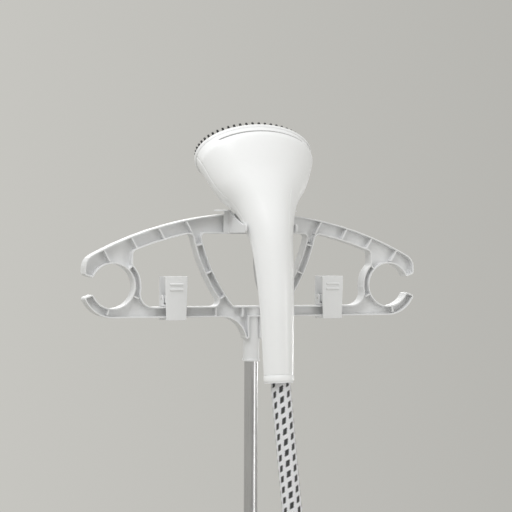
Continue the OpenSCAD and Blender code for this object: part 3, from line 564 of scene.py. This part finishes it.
make_head_skin("head_back_skin", "head_back_shell", 0, 180)
make_head_skin("head_front_skin", "head_front_shell", 180, 360)


def tilted(verts, angle, pivot):
    """Turns points about the X axis through the pivot."""
    turn = Matrix.Rotation(math.radians(angle), 3, "X")
    return [turn @ (Vector(v) - Vector(pivot)) + Vector(pivot) for v in verts]


COLLAR_H, COLLAR_R, COLLAR_WALL = 9.5, GRIP_R + 0.3, 2.2
ROLL_IN, ROLL_OUT, ROLL_STEPS = 2, 3.2, 6


def make_grip_collar():
    """Collar at the grip's lower end, with a rolled lower edge and a shadow gap above it."""
    h, r, inner = COLLAR_H, COLLAR_R, COLLAR_R - COLLAR_WALL
    profile = [(inner, 0), (inner, -h + ROLL_IN)]
    rolls = ((inner + ROLL_IN, ROLL_IN, 180, 0), (r - ROLL_OUT, ROLL_OUT, 270, 1))
    for centre, roll, start, skipped in rolls:
        for k in range(skipped, ROLL_STEPS + 1):
            a = math.radians(start + 90 * k / ROLL_STEPS)
            profile.append((centre + roll * math.cos(a), -h + roll + roll * math.sin(a)))
    profile += [(r, -1.1), (r - 0.25, -0.75), (r - 0.9, -0.55), (r - 0.9, 0)]
    at = (0, POLE_Y + HEAD[0][0], HANGER_Z + HEAD[0][1])
    verts, faces = lathe(profile, at)
    verts = tilted(verts, -HEAD[0][2], at)
    piece = mesh_piece("grip_collar", verts, faces, "head", HEAD_WHITE)
    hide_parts("handle_end_collar")


make_grip_collar()


def rim_place(x, y, z):
    """A point drawn on the head's rim plane, in the row frame; local Z leaves the steam plate."""
    return (x, POLE_Y + RIM[0] + y * COS_T + z * SIN_T, HANGER_Z + RIM[1] - y * SIN_T + z * COS_T)


# Brush ring, as distances out from the rim's outline and heights over its plane
RING_IN, RING_CLEAR, RING_FOOT = -7.0, 0.12, (0.2, -0.95)
RING_LIP, RING_ROUND = 1.5, 1.5
RING_SIDES = 192
RIM_TOP = 3.2


def make_brush_rim():
    """Face ring of the brush, carrying the head's flare out to a rounded edge."""
    foot, low = RING_FOOT
    shoulder = RIM_TOP - RING_ROUND
    profile = [(RING_IN, RIM_TOP), (RING_IN, 0.25), (RING_CLEAR, 0.25), (RING_CLEAR, -0.85)]
    profile.append(RING_FOOT)
    for k in range(1, 6):
        profile.append((foot + (RING_LIP - foot) * k / 5, low + (shoulder - low) * k / 5))
    for k in range(1, 9):
        a = math.pi / 2 * k / 8
        profile.append((RING_LIP - RING_ROUND + RING_ROUND * math.cos(a),
                        shoulder + RING_ROUND * math.sin(a)))
    verts, faces = [], []
    n = len(profile)
    for k in range(RING_SIDES):
        a = 2 * math.pi * k / RING_SIDES
        for out, z in profile:
            verts.append(rim_place((RIM_A + out) * math.cos(a), (RIM_B + out) * math.sin(a), z))
    for k in range(RING_SIDES):
        for i in range(n):
            j, l = (i + 1) % n, (k + 1) % RING_SIDES
            faces.append((k * n + i, l * n + i, l * n + j, k * n + j))
    piece = mesh_piece("brush_rim", verts, faces, "brush", HEAD_WHITE, sharp=50)
    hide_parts("brush_frame")


TUFTS, HAIRS, TUFT_INSET, HAIR_LENGTH = 56, 18, 2.6, 9
HAIR_TURN, HAIR_LEAN = 0.618, 0.16


def make_bristles():
    """Tufts of tapered filaments round the brush, each a thin six-sided hair."""
    rng = random.Random(7)
    verts, faces = [], []
    for i in range(TUFTS):
        a = 2 * math.pi * i / TUFTS
        cx, cy = (RIM_A - TUFT_INSET) * math.cos(a), (RIM_B - TUFT_INSET) * math.sin(a)
        for f in range(HAIRS):
            ring = 0 if f == 0 else (0.55 if f < 7 else 1.0)
            b = 2 * math.pi * (f * HAIR_TURN)
            x, y = cx + ring * math.cos(b), cy + ring * math.sin(b)
            lean = ring * HAIR_LEAN
            top = HAIR_LENGTH - rng.random() * 0.7
            start = len(verts)
            # Height, radius and share of the lean at each ring of the hair
            levels = (
                (0.1, 0.24, 0), (top * 0.5, 0.22, 0.4), (top - 0.5, 0.19, 0.9), (top, 0.07, 1),
            )
            for z, r, k in levels:
                for s in range(6):
                    c = math.pi * s / 3
                    verts.append(rim_place(
                        x + lean * k * math.cos(b) + r * math.cos(c),
                        y + lean * k * math.sin(b) + r * math.sin(c), RIM_TOP + z))
            for lv in range(3):
                for s in range(6):
                    p, q = start + lv * 6 + s, start + lv * 6 + (s + 1) % 6
                    faces.append((p, q, q + 6, p + 6))
            faces.append(tuple(start + s for s in range(5, -1, -1)))
            faces.append(tuple(start + 18 + s for s in range(6)))
    piece = mesh_piece("brush_tufts", verts, faces, "brush", BRISTLE, sharp=None)
    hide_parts("brush_bristles")


make_brush_rim()
make_bristles()

# --- Materials and rounded edges of the carried-over nodes: node, material, bevel in mm ---
FINISH = {
    "base_lower_shell": (GREY, 0.8), "base_upper_shell": (WHITE, 0.8), "base_screws": (STEEL, 0),
    "rubber_feet": (RUBBER, 0.6), "wheel_left": (WHEEL, 0), "wheel_right": (WHEEL, 0),
    "wheel_axles": (STEEL, 0.3), "pole_socket": (WHITE, 0.8), "boiler": (CAST, 1),
    "heating_element": (DARK_STEEL, 0), "thermostat": (STEEL, 0.4), "pump": (DARK, 0.8),
    "water_tube": (SILICONE, 0), "steam_tube": (STEEL, 0), "control_dial": (GREY, 0.5),
    "dial_switch": (DARK, 0.5), "power_button": (GREY, 0.6), "button_switch": (DARK, 0.5),
    "pilot_lens": (LENS, 0.5), "cord_gland": (RUBBER, 0.5), "hose_connector": (GREY, 0.6),
    "hose_boot": (GREY_RUBBER, 0.5), "tank_body": (TANK, 0.5), "tank_valve": (WHITE, 0.4),
    "tank_seal": (SILICONE, 0.3), "tank_cap": (WHITE, 0.6), "cap_pin": (STEEL, 0.2),
    "tank_handle": (GREY, 0.8), "lower_tube": (TUBE, 0.25), "lock_collar": (WHITE, 0.8),
    "lock_lever": (DARK, 0.8), "lock_pin": (STEEL, 0.2), "upper_tube": (TUBE, 0.25),
    "tube_bush": (DARK, 0.2), "hanger_frame": (HANGER_WHITE, 0.3),
    "clip_left_body": (CLIP_WHITE, 0.4), "clip_left_lever": (CLIP_WHITE, 0.4),
    "clip_left_pin": (STEEL, 0.15), "clip_left_spring": (DARK_STEEL, 0),
    "clip_right_body": (CLIP_WHITE, 0.4), "clip_right_lever": (CLIP_WHITE, 0.4),
    "clip_right_pin": (STEEL, 0.15), "clip_right_spring": (DARK_STEEL, 0),
    "hose_nipple": (GREY, 0), "steam_valve": (GREY, 0.4), "steam_pipe": (STEEL, 0),
    "steam_chamber": (CAST, 0.6), "plate_gasket": (SILICONE, 0.2), "steam_plate": (PLATE, 0.3),
    "steam_trigger": (GREY, 0.6), "trigger_pin": (STEEL, 0.2),
    "trigger_spring": (STEEL, 0),
}


# Flat faces with many holes break up when their triangles are joined
KEEP_TRIANGLES = {"hanger_frame"}


WELD_DISTANCE = 0.00001
FLAT_ANGLE, EDGE_ANGLE = math.radians(0.6), math.radians(32)


def dress(node, material, bevel):
    """Gives a CAD node its material and softens its sharp edges."""
    obj = NODES[node]
    obj.data.materials.clear()
    obj.data.materials.append(material)
    if not bevel:
        return
    weld = obj.modifiers.new("weld", "WELD")
    weld.merge_threshold = WELD_DISTANCE
    if node not in KEEP_TRIANGLES:
        flat = obj.modifiers.new("flat", "DECIMATE")
        flat.decimate_type = "DISSOLVE"
        flat.angle_limit = FLAT_ANGLE
    soft = obj.modifiers.new("edge", "BEVEL")
    soft.width = bevel * MM
    soft.segments = 2
    soft.limit_method = "ANGLE"
    soft.angle_limit = EDGE_ANGLE
    soft.use_clamp_overlap = False
    soft.miter_outer = "MITER_ARC"
    normals = obj.modifiers.new("normals", "WEIGHTED_NORMAL")
    normals.weight = 80


for node, (material, bevel) in FINISH.items():
    dress(node, material, bevel)


# --- Light, floor and background ---
BACKGROUND = (0.552, 0.546, 0.515)
# The background's strength falls from left to right over this width of direction
FALL_HALF, FALL_LEFT, FALL_RIGHT = 0.14, 1.03, 0.86
FLOOR_R, FLOOR_Z, FLOOR_SIDES = 6000, -0.5, 96


def make_stage():
    s = Shader("floor", (0.60, 0.595, 0.57), 0.75)
    s.paint(s.mix(s.spread(s.noise(3, 5), 0, 1), (0.585, 0.58, 0.555), (0.615, 0.61, 0.585)))
    s.bump(s.noise(140, 3), 0.05)
    turns = [2 * math.pi * k / FLOOR_SIDES for k in range(FLOOR_SIDES)]
    verts = [(FLOOR_R * math.cos(a), FLOOR_R * math.sin(a), FLOOR_Z) for a in turns]
    floor = mesh_piece("floor", verts, [tuple(range(FLOOR_SIDES))], None, s.material)
    world = bpy.data.worlds.new("studio")
    world.use_nodes = True
    nodes, links = world.node_tree.nodes, world.node_tree.links
    background = nodes["Background"]
    background.inputs[0].default_value = (*BACKGROUND, 1)
    toward = nodes.new("ShaderNodeVectorMath")
    toward.operation = "DOT_PRODUCT"
    toward.inputs[1].default_value = (math.cos(CAM_AZIMUTH), math.sin(CAM_AZIMUTH), 0)
    fall = nodes.new("ShaderNodeMapRange")
    for key, value in zip(RANGE_ENDS, (-FALL_HALF, FALL_HALF, FALL_LEFT, FALL_RIGHT)):
        fall.inputs[key].default_value = value
    links.new(nodes.new("ShaderNodeTexCoord").outputs["Generated"], toward.inputs[0])
    links.new(toward.outputs["Value"], fall.inputs["Value"])
    links.new(fall.outputs[0], background.inputs[1])
    bpy.context.scene.world = world


def area_light(name, place, target, size, power, colour):
    data = bpy.data.lights.new(name, "AREA")
    data.shape = "RECTANGLE"
    data.size, data.size_y = size
    data.energy = power
    data.color = colour
    lamp = bpy.data.objects.new(name, data)
    lamp.location = place
    lamp.rotation_mode = "QUATERNION"
    lamp.rotation_quaternion = (Vector(target) - Vector(place)).to_track_quat("-Z", "Y")
    bpy.context.scene.collection.objects.link(lamp)


# Name, place, target, size, power and colour
LIGHTS = (
    ("key", (-1.3, -0.9, 3.7), (0, 0.05, 1.35), (2.6, 2.2), 56, (0.97, 0.985, 1.0)),
    ("strip_front", (1.6, -1.7, 1.1), (0, 0.06, 1.1), (0.6, 1.5), 9, (1, 1, 1)),
    ("strip_right", (1.75, 0.8, 1.2), (0, 0.05, 1.3), (0.35, 0.15), 2.4, (1, 1, 1)),
    ("rear", (0.5, 2.2, 2.4), (0, 0.05, 1.0), (1.6, 1.6), 18, (1, 1, 1)),
)

make_stage()
for light in LIGHTS:
    area_light(*light)
